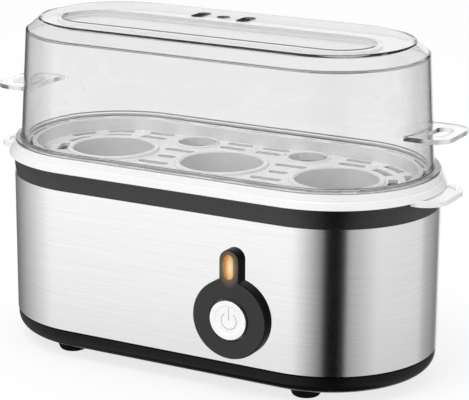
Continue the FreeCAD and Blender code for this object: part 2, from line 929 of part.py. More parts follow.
def power_button():
    flange_radius = button_radius + button_flange
    return turned_facing_front([
        (0, button_stem_end),
        (button_stem_radius, button_stem_end),
        (button_stem_radius, button_flange_back),
        (flange_radius, button_flange_back),
        (flange_radius, button_flange_front),
        (button_radius, button_flange_front),
        (button_radius, button_front, button_edge_round),
        (button_dish_radius, button_front),
        (button_dish_floor_radius, button_front - button_dish_depth),
        (0, button_front - button_dish_depth),
    ], control_x, control_z)


def switch_plunger():
    start = Vec(control_x, -button_stem_end, control_z)
    return Part.makeCylinder(plunger_radius, plunger_length, start, BACK)


def cord_gland():
    outer_flange = jacket_radius + gland_flange_thickness
    inner_flange = steel_back - gland_inner_flange
    nose = button_front
    return turned_facing_back([
        (gland_bore_radius, inner_flange),
        (gland_flange_radius, inner_flange),
        (gland_flange_radius, steel_back),
        (gland_neck_radius, steel_back),
        (gland_neck_radius, jacket_radius),
        (gland_flange_radius, jacket_radius),
        (gland_flange_radius, outer_flange, gland_edge_round),
        (gland_neck_radius, outer_flange),
        (gland_nose_radius, nose, gland_edge_round),
        (gland_bore_radius, nose),
    ], gland_x, gland_z)


def block_screw_places():
    return [(gland_x - block_screw_x, block_y), (gland_x + block_screw_x, block_y)]


def terminal_block():
    body = rounded_plate(gland_x - block_length / 2, gland_x + block_length / 2,
                         block_y - block_depth / 2, block_y + block_depth / 2, block_round,
                         base_inside, base_inside + block_height)
    cuts = []
    for i in range(block_ways):
        x = gland_x + (i - (block_ways - 1) / 2) * block_way_pitch
        place = Vec(x, block_y - block_depth / 2, base_inside + block_height - 2 * block_way_radius)
        cuts.append(Part.makeCylinder(block_way_radius, block_depth, place, BACK))
    for x, y in block_screw_places():
        cuts.append(Part.makeCylinder(block_screw_radius + screw_gap, block_height, Vec(x, y, base_inside)))
    return one_solid(body.cut(cuts))


def terminal_block_screws():
    seat_z = base_inside + block_height
    screws = []
    for x, y in block_screw_places():
        screws.append(pan_head_screw(Vec(x, y, seat_z), DOWN, block_screw_radius, block_height + base_floor,
                                     block_screw_head_radius, block_screw_head_height))
    return Part.makeCompound(screws)


def tray_body():
    lip_top = tray_shelf + tray_lip_height
    step_z = tray_skirt_bottom + tray_height / 2
    return around([
        (tray_skirt_radius, tray_skirt_bottom),
        (tray_step_radius, step_z),
        (tray_step_radius - tray_step_width, step_z + tray_step_width),
        (tray_lip_radius, lip_top),
        (tray_lip_radius - tray_lip_width, lip_top),
        (tray_lip_radius - tray_lip_width, tray_shelf),
        (tray_shelf_inner_radius, tray_shelf),
        (tray_deck_radius, tray_deck),
        (0, tray_deck),
        (0, tray_deck - tray_wall),
        (tray_deck_radius + tray_wall, tray_deck - tray_wall),
        (tray_shelf_inner_radius + tray_wall, tray_seat),
        (tray_lip_radius - tray_wall / 2, tray_seat),
        (tray_skirt_radius - tray_wall, tray_skirt_bottom),
    ])


def egg_places():
    return [-egg_pitch, 0, egg_pitch]


def tray_tab():
    top = tray_skirt_bottom - tray_tab_drop + tray_tab_thickness
    bottom = tray_skirt_bottom - tray_tab_drop
    tip = half_span + tray_skirt_radius + tray_tab_overhang
    tab = rounded_plate(half_span, tip, -tray_tab_half_width, tray_tab_half_width, tray_tab_round,
                        bottom, top)
    dish_floor = top - tray_tab_dish
    dish = rounded_plate(half_span, tip - tray_tab_border,
                         -tray_tab_half_width + tray_tab_border, tray_tab_half_width - tray_tab_border,
                         tray_tab_round - tray_tab_border, dish_floor, top)
    reach = Vec(half_span, 0, 0)
    floor = Vec(0, 0, bottom)
    inside = obround(floor - reach, floor + reach, tray_skirt_radius - tray_wall, UP * (top - bottom))
    return one_solid(tab.cut([dish, inside]))


def tray_slots():
    """Cutters for the deck's steam slots and the shelf's drain slots."""
    low = tray_deck - tray_wall
    high = tray_deck
    quarter = []
    for row in (slot_outer_row, slot_inner_row):
        for x in slot_straight_x:
            quarter.append(straight_slot(x, row, slot_straight_length, slot_width, low, high))
    for angle in slot_outer_angles:
        quarter.append(arc_slot(slot_outer_row, slot_width, angle, slot_arc_length, low, high))
    for angle in slot_inner_angles:
        quarter.append(arc_slot(slot_inner_row, slot_width, angle, slot_arc_length, low, high))
    quarter.append(straight_slot(egg_pitch / 2, cross_slot_y, cross_slot_length, slot_width, low, high))
    cutters = []
    for cutter in quarter:
        cutters += in_four_quarters(cutter)
    middle = straight_slot(egg_pitch / 2, 0, cross_slot_middle_length, slot_width, low, high)
    cutters += [middle, mirrored_left(middle)]
    for x, length in zip(drain_x, drain_length):
        drain = straight_slot(x, -drain_ring_radius, length, drain_width, tray_seat, tray_shelf)
        cutters += [drain, mirrored_back(drain)]
    for angle in drain_angles:
        drain = arc_slot(drain_ring_radius, drain_width, angle, drain_arc_length, tray_seat, tray_shelf)
        cutters += [drain, mirrored_left(drain)]
    return cutters


def collar_and_well(x, y, radius, wall, rounding, bottom, top):
    """Plug of one collar on the deck, and the cutter for the hole through it."""
    collar = turned_at([
        (0, bottom),
        (radius + wall, bottom),
        (radius + wall, top, rounding),
        (0, top),
    ], x, y)
    well = turned_at([
        (0, bottom),
        (radius, bottom),
        (radius, top - rounding),
        (radius + rounding, top),
        (0, top),
    ], x, y)
    return collar, well


def egg_tray():
    rings = []
    for x in egg_places():
        rings.append(collar_and_well(x, 0, egg_seat_radius, egg_seat_wall, egg_seat_round,
                                     tray_deck - egg_seat_depth, tray_deck + egg_seat_rise))
    for sx in (-1, 1):
        for sy in (-1, 1):
            rings.append(collar_and_well(sx * egg_pitch / 2, sy * steam_hole_y, steam_hole_radius,
                                         steam_collar_wall, steam_collar_round,
                                         pan_rim_top + steam_collar_gap, tray_deck + steam_collar_rise))
    collars = [collar for collar, well in rings]
    wells = [well for collar, well in rings]
    tab = tray_tab()
    body = one_solid(tray_body().fuse(collars + [tab, mirrored_left(tab)]))
    return one_solid(body.cut(wells + tray_slots()))


def lid_tab():
    top = lid_flange_top + lid_tab_rise
    bottom = top - lid_tab_thickness
    tip = half_span + lid_flange_radius + lid_tab_overhang
    tab = rounded_plate(half_span, tip, -lid_tab_half_width, lid_tab_half_width, lid_tab_round, bottom, top)
    reach = Vec(0, lid_tab_hole_length / 2 - lid_tab_hole_radius, 0)
    centre = Vec(tip - lid_tab_hole_inset, 0, bottom)
    hole = obround(centre - reach, centre + reach, lid_tab_hole_radius, UP * lid_tab_thickness)
    return one_solid(tab.cut(hole))


def lid_recess(z_low, z_high, margin):
    """Long round-ended block for the recess in the lid's top, widened by a margin."""
    reach = Vec(recess_half_length - recess_half_width, 0, 0)
    centre = Vec(0, recess_y, z_low)
    return obround(centre - reach, centre + reach, recess_half_width + margin, UP * (z_high - z_low))


def lid():
    outer = around([
        (0, lid_bottom),
        (lid_flange_radius, lid_bottom),
        (lid_flange_radius, lid_flange_top),
        (lid_foot_radius, lid_flange_top, lid_foot_round),
        (lid_shoulder_radius, lid_shoulder, lid_edge_round),
        (lid_top_radius, lid_top, lid_edge_round),
        (0, lid_top),
    ])
    cavity = around([
        (0, lid_bottom),
        (lid_foot_radius - lid_wall, lid_bottom),
        (lid_shoulder_radius - lid_wall, lid_shoulder - lid_wall / 2, lid_edge_round),
        (lid_top_radius - lid_wall / 2, lid_top - lid_wall, lid_edge_round),
        (0, lid_top - lid_wall),
    ])
    recess_floor = lid_top - recess_depth
    pad = lid_recess(recess_floor - lid_wall, lid_top - lid_wall, lid_wall)
    pocket = lid_recess(recess_floor, lid_top, 0)
    vent_low = lid_top - lid_wall
    vents = [Part.makeCylinder(vent_hole_radius, lid_wall, Vec(vent_hole_x, vent_hole_y, vent_low))]
    reach = Vec(0, vent_slot_length / 2 - vent_slot_radius, 0)
    for sx in (-1, 1):
        centre = Vec(vent_hole_x + sx * vent_slot_offset, vent_hole_y, vent_low)
        vents.append(obround(centre - reach, centre + reach, vent_slot_radius, UP * lid_wall))
    tab = lid_tab()
    body = outer.fuse([tab, mirrored_left(tab)])
    return one_solid(body.cut([cavity.cut(pad), pocket] + vents))


pieces = {
    "foot_front_left": foot(-foot_x, -foot_y),
    "foot_front_right": foot(foot_x, -foot_y),
    "foot_rear_left": foot(-foot_x, foot_y),
    "foot_rear_right": foot(foot_x, foot_y),
    "base_pan": base_pan(),
    "base_screws": base_screws(),
    "steel_jacket": steel_jacket(),
    "upper_frame": upper_frame(),
    "water_pan": water_pan(),
    "pan_gasket": pan_gasket(),
    "heat_spreader": heat_spreader(),
    "heating_element": element_with_pin_wells(),
    "element_pins": element_pins(),
    "pan_clamp_left": pan_clamp(-strap_x),
    "pan_clamp_right": pan_clamp(strap_x),
    "clamp_studs": clamp_studs(),
    "clamp_nuts": clamp_nuts(),
    "thermostat": thermostat(),
    "thermostat_screws": thermostat_screws(),
    "thermal_fuse": thermal_fuse(),
    "fuse_clip": fuse_clip(),
    "control_bezel": control_bezel(),
    "indicator_lens": indicator_lens(),
    "indicator_lamp": indicator_lamp(),
    "switch_bracket": switch_bracket(),
    "bracket_screws": bracket_screws(),
    "switch_body": switch_body(),
    "power_button": power_button(),
    "switch_plunger": switch_plunger(),
    "cord_gland": cord_gland(),
    "terminal_block": terminal_block(),
    "terminal_block_screws": terminal_block_screws(),
    "egg_tray": egg_tray(),
    "lid": lid(),
}

os.makedirs("parts", exist_ok=True)
for name, shape in pieces.items():
    shape.exportStep("parts/%s.step" % name)
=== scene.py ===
import math

import bpy
from mathutils import Matrix, Vector


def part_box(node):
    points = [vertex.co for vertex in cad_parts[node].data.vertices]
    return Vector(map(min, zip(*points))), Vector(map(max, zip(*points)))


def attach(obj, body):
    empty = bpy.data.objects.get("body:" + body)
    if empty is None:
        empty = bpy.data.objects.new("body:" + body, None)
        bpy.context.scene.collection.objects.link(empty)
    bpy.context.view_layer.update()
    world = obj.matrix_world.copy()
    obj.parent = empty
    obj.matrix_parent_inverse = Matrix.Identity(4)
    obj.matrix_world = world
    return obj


# Egg cooker for three eggs, dressed over its solids. Metres, Z up, the control faces -Y.
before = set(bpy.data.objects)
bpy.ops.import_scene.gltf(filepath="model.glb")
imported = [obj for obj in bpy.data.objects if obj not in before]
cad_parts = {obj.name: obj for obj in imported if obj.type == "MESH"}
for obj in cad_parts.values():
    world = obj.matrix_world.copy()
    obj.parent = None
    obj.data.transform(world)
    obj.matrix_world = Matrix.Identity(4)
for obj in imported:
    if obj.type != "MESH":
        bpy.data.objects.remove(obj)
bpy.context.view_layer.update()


# Feet: four soft rubber buttons pushed through holes in the base.
# Compression moulded, dull and slightly grey from dust in the grain.
noise_low = 0.3
noise_high = 0.7


def grey(level):
    """A colour with no hue."""
    return (level, level, level)


def new_finish(name, roughness, metallic=0.0):
    """A new material and its shader."""
    material = bpy.data.materials.new(name)
    material.use_nodes = True
    shader = material.node_tree.nodes["Principled BSDF"]
    shader.inputs["Roughness"].default_value = roughness
    shader.inputs["Metallic"].default_value = metallic
    return material, shader


def grain(material, size, stretch=(1, 1, 1), detail=4.0):
    """Noise whose cells are about one size across, in metres, drawn out along the axes."""
    nodes = material.node_tree.nodes
    links = material.node_tree.links
    place = nodes.new("ShaderNodeTexCoord")
    mapping = nodes.new("ShaderNodeMapping")
    mapping.inputs["Scale"].default_value = [1 / (size * s) for s in stretch]
    texture = nodes.new("ShaderNodeTexNoise")
    texture.inputs["Scale"].default_value = 1.0
    texture.inputs["Detail"].default_value = detail
    links.new(place.outputs["Object"], mapping.inputs["Vector"])
    links.new(mapping.outputs["Vector"], texture.inputs["Vector"])
    return texture.outputs["Fac"]


def uneven_gloss(material, shader, source, low, high):
    """Let noise move a finish's roughness between two levels."""
    nodes = material.node_tree.nodes
    links = material.node_tree.links
    spread = nodes.new("ShaderNodeMapRange")
    spread.inputs["From Min"].default_value = noise_low
    spread.inputs["From Max"].default_value = noise_high
    spread.inputs["To Min"].default_value = low
    spread.inputs["To Max"].default_value = high
    links.new(source, spread.inputs["Value"])
    links.new(spread.outputs["Result"], shader.inputs["Roughness"])


def ramp_of(material, source, stops):
    """A colour that a value moves through a row of (place, colour) stops."""
    ramp = material.node_tree.nodes.new("ShaderNodeValToRGB")
    elements = ramp.color_ramp.elements
    while len(elements) < len(stops):
        elements.new(0.5)
    for element, (place, colour) in zip(elements, stops):
        element.position = place
        element.color = (*colour, 1)
    material.node_tree.links.new(source, ramp.inputs["Fac"])
    return ramp.outputs["Color"]


def patches(material, size, dark, light):
    """A colour that wanders between two shades in soft patches about one size across."""
    return ramp_of(material, grain(material, size), [(noise_low, dark), (noise_high, light)])


def tint(material, shader, colour):
    """Give a finish its colour from a node."""
    material.node_tree.links.new(colour, shader.inputs["Base Color"])


def mottle(material, shader, size, dark, light):
    """Give a finish a colour that wanders between two shades."""
    tint(material, shader, patches(material, size, dark, light))


def relief(material, shader, source, height):
    """Raise the surface by noise, to a height in metres."""
    nodes = material.node_tree.nodes
    links = material.node_tree.links
    bump = nodes.new("ShaderNodeBump")
    bump.inputs["Distance"].default_value = height
    links.new(source, bump.inputs["Height"])
    links.new(bump.outputs["Normal"], shader.inputs["Normal"])


def coat_nodes(material, *names):
    """Give CAD nodes a finish."""
    for name in names:
        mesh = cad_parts[name].data
        mesh.materials.clear()
        mesh.materials.append(material)


foot_rubber, shader = new_finish("foot_rubber", roughness=0.7)
shader.inputs["Specular IOR Level"].default_value = 0.06
rubber_grain = grain(foot_rubber, size=0.0009)
dusty_black = ramp_of(foot_rubber, rubber_grain, [(0.35, grey(0.005)), (0.7, (0.012, 0.012, 0.0125))])
tint(foot_rubber, shader, dusty_black)
uneven_gloss(foot_rubber, shader, rubber_grain, low=0.6, high=0.85)
relief(foot_rubber, shader, grain(foot_rubber, size=0.0004), height=0.00005)
coat_nodes(foot_rubber, "foot_front_left", "foot_front_right", "foot_rear_left", "foot_rear_right")


# Base: one black moulding with a rolled lower edge, screwed to the frame's posts from below.
# Satin black plastic from a spark-eroded tool, so its skin has a fine even grain.
tool_grain_size = 0.00035
tool_grain_height = 0.00002
least_dull = 0.07
most_dull = 0.09
black_patch = 0.02


def black_plastic(name, roughness, gloss):
    """Black plastic with a fine tool grain, still without its colour; gloss is its mirror light."""
    material, shader = new_finish(name, roughness)
    shader.inputs["Specular IOR Level"].default_value = gloss
    tool_grain = grain(material, tool_grain_size)
    uneven_gloss(material, shader, tool_grain, roughness - least_dull, roughness + most_dull)
    relief(material, shader, tool_grain, tool_grain_height)
    return material, shader


base_black, shader = black_plastic("base_black", roughness=0.24, gloss=0.15)
mottle(base_black, shader, black_patch, dark=grey(0.003), light=grey(0.005))
coat_nodes(base_black, "base_pan")


# Screws, studs, nuts, straps and pins: zinc-plated steel that holds the inside together.
# Rolled or turned, with the faint yellow cast and cloudy patches of a thin plating.
zinc_plate, shader = new_finish("zinc_plate", roughness=0.35, metallic=1.0)
mottle(zinc_plate, shader, size=0.003, dark=(0.52, 0.52, 0.50), light=(0.68, 0.67, 0.62))
uneven_gloss(zinc_plate, shader, grain(zinc_plate, size=0.0006), low=0.28, high=0.45)
coat_nodes(zinc_plate, "base_screws", "clamp_studs", "clamp_nuts", "thermostat_screws", "bracket_screws",
           "terminal_block_screws", "pan_clamp_left", "pan_clamp_right", "fuse_clip", "element_pins")


# Jacket: a strip of stainless sheet brushed along its length and wrapped round the body,
# hemmed at both edges, with cut-outs for the control and the mains entry.
def coordinates(material, output):
    """The three coordinates that one output of the texture coordinates gives."""
    nodes = material.node_tree.nodes
    place = nodes.new("ShaderNodeTexCoord")
    split = nodes.new("ShaderNodeSeparateXYZ")
    material.node_tree.links.new(place.outputs[output], split.inputs["Vector"])
    return split.outputs


def reckon(holder, operation, *values):
    """One step of arithmetic on values that are numbers or outputs of the holder's nodes."""
    step = holder.node_tree.nodes.new("ShaderNodeMath")
    step.operation = operation
    for socket, value in zip(step.inputs, values):
        if isinstance(value, (int, float)):
            socket.default_value = value
        else:
            holder.node_tree.links.new(value, socket)
    return step.outputs["Value"]


brushed_jacket, shader = new_finish("brushed_jacket", roughness=0.3, metallic=1.0)
nodes = brushed_jacket.node_tree.nodes
links = brushed_jacket.node_tree.links
brush_coarse = grain(brushed_jacket, size=0.0004, stretch=(70, 70, 1), detail=3.0)
brush_fine = grain(brushed_jacket, size=0.0002, stretch=(120, 120, 1), detail=2.0)
jacket_low, jacket_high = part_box("steel_jacket")
jacket_height = jacket_high.z - jacket_low.z
above_hem = reckon(brushed_jacket, "SUBTRACT", coordinates(brushed_jacket, "Object")["Z"], jacket_low.z)
up_the_jacket = reckon(brushed_jacket, "DIVIDE", above_hem, jacket_height)
# Painted shade: the sheet's colour darkens towards the bottom, where it would mirror the shaded floor.
sheet_colour_and_shade = ramp_of(brushed_jacket, up_the_jacket, [
    (0.0, grey(0.79)),
    (0.45, (0.888, 0.888, 0.887)),
    (1.0, (0.955, 0.955, 0.953)),
])
streaks = ramp_of(brushed_jacket, brush_coarse, [(noise_low, grey(0.955)), (noise_high, grey(1.015))])
brushed_colour_and_shade = nodes.new("ShaderNodeMixRGB")
brushed_colour_and_shade.blend_type = "MULTIPLY"
brushed_colour_and_shade.inputs["Fac"].default_value = 1.0
links.new(sheet_colour_and_shade, brushed_colour_and_shade.inputs["Color1"])
links.new(streaks, brushed_colour_and_shade.inputs["Color2"])
tint(brushed_jacket, shader, brushed_colour_and_shade.outputs["Color"])
uneven_gloss(brushed_jacket, shader, brush_fine, low=0.237, high=0.263)
round_the_body = nodes.new("ShaderNodeTangent")
round_the_body.direction_type = "RADIAL"
round_the_body.axis = "Z"
links.new(round_the_body.outputs["Tangent"], shader.inputs["Tangent"])
shader.inputs["Anisotropic"].default_value = 0.82
shader.inputs["Anisotropic Rotation"].default_value = 0.25
coat_nodes(brushed_jacket, "steel_jacket")


# Mains entry: a rubber bush pressed into the back of the jacket, and the terminal block behind it.
# The bush is moulded like the feet; the block, the switch and its bracket are pale nylon.
coat_nodes(foot_rubber, "cord_gland")
inner_plastic, shader = new_finish("inner_plastic", roughness=0.5)
mottle(inner_plastic, shader, size=0.006, dark=(0.60, 0.59, 0.55), light=(0.68, 0.67, 0.63))
relief(inner_plastic, shader, grain(inner_plastic, size=0.0005), height=0.00003)
coat_nodes(inner_plastic, "terminal_block", "switch_bracket", "switch_body", "switch_plunger")


# Control bezel: a keyhole-shaped black moulding screwed on from behind, a ring round the button
# and a lobe round the lamp. Fine matt grain, sides painted near black as shade, and a painted glow of
# lamp light in the lobe.
face_limit = -0.8
side_painted_shade = 0.001
glow_half_width = 0.0052
glow_half_height = 0.0092
lens_low, lens_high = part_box("indicator_lens")
lens_middle = (lens_low + lens_high) / 2


def where(material, value, low, high):
    """1 where a value lies between two limits, else 0."""
    return reckon(material, "COMPARE", value, (low + high) / 2, (high - low) / 2)


def laid_over(material, below, mask, shade):
    """A grey laid over the colour below where the mask is 1."""
    layer = material.node_tree.nodes.new("ShaderNodeMixRGB")
    material.node_tree.links.new(mask, layer.inputs["Fac"])
    material.node_tree.links.new(below, layer.inputs["Color1"])
    layer.inputs["Color2"].default_value = (*grey(shade), 1)
    return layer.outputs["Color"]


def distance_from_lens(material, half_width, half_height, aside=0.0):
    """Distance from the lens's middle, or a little aside of it, in half widths and half heights."""
    nodes = material.node_tree.nodes
    links = material.node_tree.links
    place = nodes.new("ShaderNodeTexCoord")
    centred = nodes.new("ShaderNodeMapping")
    centred.vector_type = "TEXTURE"
    centred.inputs["Location"].default_value = lens_middle + Vector((aside, 0, 0))
    centred.inputs["Scale"].default_value = (half_width, 1.0, half_height)
    distance = nodes.new("ShaderNodeVectorMath")
    distance.operation = "LENGTH"
    links.new(place.outputs["Object"], centred.inputs["Vector"])
    links.new(centred.outputs["Vector"], distance.inputs[0])
    return distance.outputs["Value"]


bezel_black, shader = black_plastic("bezel_black", roughness=0.41, gloss=0.16)
# Painted shade: the moulding's sides are coloured near black, far darker than its face.
shaded_sides = where(bezel_black, coordinates(bezel_black, "Normal")["Y"], face_limit, 1)
face_colour = patches(bezel_black, black_patch, dark=grey(0.034), light=grey(0.040))
tint(bezel_black, shader, laid_over(bezel_black, face_colour, shaded_sides, side_painted_shade))
# Painted light: the lobe's face glows amber round the lens, though the moulding is no lamp.
painted_lamp_glow = ramp_of(bezel_black, distance_from_lens(bezel_black, glow_half_width, glow_half_height), [
    (0.40, (0.30, 0.21, 0.095)),
    (0.60, (0.10, 0.070, 0.034)),
    (0.95, grey(0)),
])
lobe_painted_glow = laid_over(bezel_black, painted_lamp_glow, shaded_sides, shade=0)
bezel_black.node_tree.links.new(lobe_painted_glow, shader.inputs["Emission Color"])
shader.inputs["Emission Strength"].default_value = 1.0
coat_nodes(bezel_black, "control_bezel")
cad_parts["control_bezel"].visible_glossy = False


# Indicator: an amber lens pressed into the lobe from behind and a neon lamp in a sleeve.
# Moulded in tinted acrylic; the lamp's light behind it is painted in as a glow, pale in the middle and
# deep amber at the rim.
lens_half_width = 0.0022
lens_half_height = 0.0058
lamp_aside = 0.0008
amber_lens, shader = new_finish("amber_lens", roughness=0.22)
from_lamp = distance_from_lens(amber_lens, lens_half_width, lens_half_height, aside=lamp_aside)
# Painted light: colour and glow fade from pale round the lamp to deep amber at the lens's rim.
lens_colour_and_glow = ramp_of(amber_lens, from_lamp, [(0.0, (0.30, 0.20, 0.08)), (1.0, (0.20, 0.07, 0.01))])
tint(amber_lens, shader, lens_colour_and_glow)
lens_painted_glow = ramp_of(amber_lens, from_lamp, [
    (0.2, (0.95, 0.80, 0.50)),
    (0.65, (0.84, 0.52, 0.19)),
    (1.0, (0.46, 0.17, 0.03)),
])
amber_lens.node_tree.links.new(lens_painted_glow, shader.inputs["Emission Color"])
shader.inputs["Emission Strength"].default_value = 0.66
coat_nodes(amber_lens, "indicator_lens")
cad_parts["indicator_lens"].visible_glossy = False

lamp_glass, shader = new_finish("lamp_glass", roughness=0.08)
mottle(lamp_glass, shader, size=0.002, dark=(0.85, 0.45, 0.2), light=(0.95, 0.6, 0.3))
coat_nodes(lamp_glass, "indicator_lamp")


# Push button: a white gloss cap clipped on the switch's plunger, its sides painted dark as the shade in
# its well.
# Injection moulded; the on/off sign on its face is two fine printed lines in light grey.
button_side_limit = 0.88
button_side_shade = 0.008
white_gloss, shader = new_finish("white_gloss", roughness=0.22)
# Painted shade: the cap's sides are near black, for the dark gap between the cap and the ring.
button_shaded_sides = where(white_gloss, coordinates(white_gloss, "Normal")["Y"], -button_side_limit, button_side_limit)
cap_colour = patches(white_gloss, size=0.03, dark=(0.955, 0.955, 0.95), light=(0.975, 0.975, 0.97))
tint(white_gloss, shader, laid_over(white_gloss, cap_colour, button_shaded_sides, button_side_shade))
uneven_gloss(white_gloss, shader, grain(white_gloss, size=0.0012), low=0.18, high=0.28)
coat_nodes(white_gloss, "power_button")

button_low, button_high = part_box("power_button")
button_middle = (button_low + button_high) / 2
sign_radius = 0.0034
sign_gap = math.radians(34)
sign_steps = 40
sign_line = 0.00014
sign_drop = 0.0002
sign_aside = 0.0004
sign_floor = 0.0003
bar_foot = 0.0004
bar_head = 0.0055


def on_button(across, up):
    """The point of the button's face that lies across and up from the middle of the sign."""
    return (button_middle.x + sign_aside + across,
            button_low.y + sign_floor,
            button_middle.z - sign_drop + up)


def fine_line(name, points, radius, finish):
    """A fine round line through points, in a finish."""
    curve = bpy.data.curves.new(name, "CURVE")
    curve.dimensions = "3D"
    curve.bevel_depth = radius
    curve.bevel_resolution = 2
    curve.use_fill_caps = True
    spline = curve.splines.new("POLY")
    spline.points.add(len(points) - 1)
    for spline_point, point in zip(spline.points, points):
        spline_point.co = (*point, 1)
    curve.materials.append(finish)
    line = bpy.data.objects.new(name, curve)
    bpy.context.scene.collection.objects.link(line)
    return line


sign_print, shader = new_finish("sign_print", roughness=0.4)
mottle(sign_print, shader, size=0.0006, dark=grey(0.42), light=grey(0.5))
ring_points = []
for i in range(sign_steps + 1):
    turn = math.pi / 2 + sign_gap + (2 * math.pi - 2 * sign_gap) * i / sign_steps
    ring_points.append(on_button(sign_radius * math.cos(turn), sign_radius * math.sin(turn)))
bar_points = [on_button(0, bar_foot), on_button(0, bar_head)]
for name, points in (("sign_ring", ring_points), ("sign_bar", bar_points)):
    stroke = fine_line(name, points, sign_line, sign_print)
    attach(stroke, "button")


# Upper frame: the black ring between jacket and tray, moulded in the same plastic as the base.
# It carries the heating pan on its ledge and the tray on its collar, and shines a little more.
frame_black, shader = black_plastic("frame_black", roughness=0.24, gloss=0.66)
mottle(frame_black, shader, black_patch, dark=grey(0.0045), light=grey(0.0075))
coat_nodes(frame_black, "upper_frame")


# Heating pan: a shallow dish of drawn stainless for the water, with fine draw marks along it.
# It hangs in the frame on a moulded silicone ring, and two straps pull it down from below.
pan_steel, shader = new_finish("pan_steel", roughness=0.28, metallic=1.0)
mottle(pan_steel, shader, size=0.012, dark=(0.62, 0.61, 0.59), light=(0.72, 0.72, 0.71))
draw_marks = grain(pan_steel, size=0.0015, stretch=(8, 1, 1))
uneven_gloss(pan_steel, shader, draw_marks, low=0.22, high=0.4)
coat_nodes(pan_steel, "water_pan")

silicone, shader = new_finish("silicone", roughness=0.6)
mottle(silicone, shader, size=0.004, dark=(0.62, 0.60, 0.55), light=(0.70, 0.68, 0.63))
coat_nodes(silicone, "pan_gasket")


# Heater: an aluminium spreader under the pan, a sheathed element below it, and the thermostat
# and fuse that watch it. Cast, drawn and moulded parts that heat has dulled.
cast_aluminium, shader = new_finish("cast_aluminium", roughness=0.5, metallic=1.0)
mottle(cast_aluminium, shader, size=0.002, dark=(0.60, 0.61, 0.62), light=(0.74, 0.75, 0.76))
relief(cast_aluminium, shader, grain(cast_aluminium, size=0.0008), height=0.00008)
coat_nodes(cast_aluminium, "heat_spreader", "thermal_fuse")

element_sheath, shader = new_finish("element_sheath", roughness=0.55, metallic=0.8)
mottle(element_sheath, shader, size=0.006, dark=(0.10, 0.09, 0.085), light=(0.24, 0.22, 0.20))
coat_nodes(element_sheath, "heating_element")

phenolic, shader = new_finish("phenolic", roughness=0.45)
mottle(phenolic, shader, size=0.0015, dark=(0.05, 0.035, 0.028), light=(0.09, 0.065, 0.05))
coat_nodes(phenolic, "thermostat")


# Egg tray: one white moulding with seats, steam slots and two finger tabs, laid in the frame.
# Polypropylene, so its gloss is uneven and its white a little softer than the button's.
tray_white, shader = new_finish("tray_white", roughness=0.26)
mottle(tray_white, shader, size=0.03, dark=(0.87, 0.87, 0.865), light=(0.89, 0.89, 0.885))
uneven_gloss(tray_white, shader, grain(tray_white, size=0.004), low=0.2, high=0.28)
coat_nodes(tray_white, "egg_tray")


# Lid: one clear moulding with a bevelled crown, a recessed top, three vents and two finger tabs.
# Polycarbonate that stands on the tray, with a faint grey cast in its outer skin. Painted shade
# darkens it along the shoulder, in the cut edges and where the wall is seen edge on.
lid_low, lid_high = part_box("lid")
cut_depth = 0.0045
vent_front = 0.011
rim_band = 0.0004
wall_slant = 0.13
shoulder_slants = (0.24, 0.52)
bevel_slants = (0.70, 0.80)
crown_slant = 0.98
tab_bottom = 0.1041
tab_top = 0.1061
tab_start = 0.0872
tab_half_width = 0.0146
recess_cloud = 0.85
haze_spread = 0.04
haze_start = -0.005
clear_lid, shader = new_finish("clear_lid", roughness=0.03)
shader.inputs["IOR"].default_value = 1.47
nodes = clear_lid.node_tree.nodes
links = clear_lid.node_tree.links
edge_on = nodes.new("ShaderNodeLayerWeight")
spot = coordinates(clear_lid, "Object")
slant = coordinates(clear_lid, "Normal")
upright = reckon(clear_lid, "ABSOLUTE", slant["Z"])


def both(first, second):
    """1 where two masks of the lid are 1."""
    return reckon(clear_lid, "MULTIPLY", first, second)


def apart_from(mask):
    """1 where a mask of the lid is 0."""
    return reckon(clear_lid, "SUBTRACT", 1, mask)


outward = reckon(clear_lid, "MULTIPLY", slant["X"], spot["X"])
outward = reckon(clear_lid, "MULTIPLY_ADD", slant["Y"], spot["Y"], outward)
outer_skin = reckon(clear_lid, "GREATER_THAN", outward, 0)
walls = where(clear_lid, upright, 0, wall_slant)
inner_walls = both(walls, apart_from(outer_skin))
shoulder = both(outer_skin, where(clear_lid, upright, *shoulder_slants))
bevel = where(clear_lid, upright, *bevel_slants)
crown = reckon(clear_lid, "GREATER_THAN", upright, crown_slant)
crown_rim = both(crown, where(clear_lid, spot["Z"], lid_high.z - rim_band, lid_high.z + rim_band))
cut_into_crown = both(where(clear_lid, spot["Z"], lid_high.z - cut_depth, lid_high.z),
                      where(clear_lid, upright, 0, bevel_slants[0]))
vent_sides = both(cut_into_crown, where(clear_lid, spot["Y"], vent_front, lid_high.y))
recess_sides = both(cut_into_crown, where(clear_lid, spot["Y"], lid_low.y, vent_front))
tabs = where(clear_lid, reckon(clear_lid, "ABSOLUTE", spot["X"]), tab_start, lid_high.x)
tabs = both(tabs, where(clear_lid, spot["Y"], -tab_half_width, tab_half_width))
tabs = both(tabs, where(clear_lid, spot["Z"], tab_bottom, tab_top))
tab_sides = both(tabs, walls)

# Painted shade: the walls turn near black where they are seen edge on, as refraction would darken them.
wall_cast_and_shade = ramp_of(clear_lid, edge_on.outputs["Facing"], [
    (0.0, (0.865, 0.868, 0.871)),
    (0.26, (0.855, 0.858, 0.861)),
    (0.44, (0.54, 0.543, 0.546)),
    (0.57, (0.46, 0.463, 0.466)),
    (0.67, grey(0.36)),
    (0.73, grey(0.14)),
    (0.79, grey(0.02)),
])
lid_cast_and_shade = wall_cast_and_shade
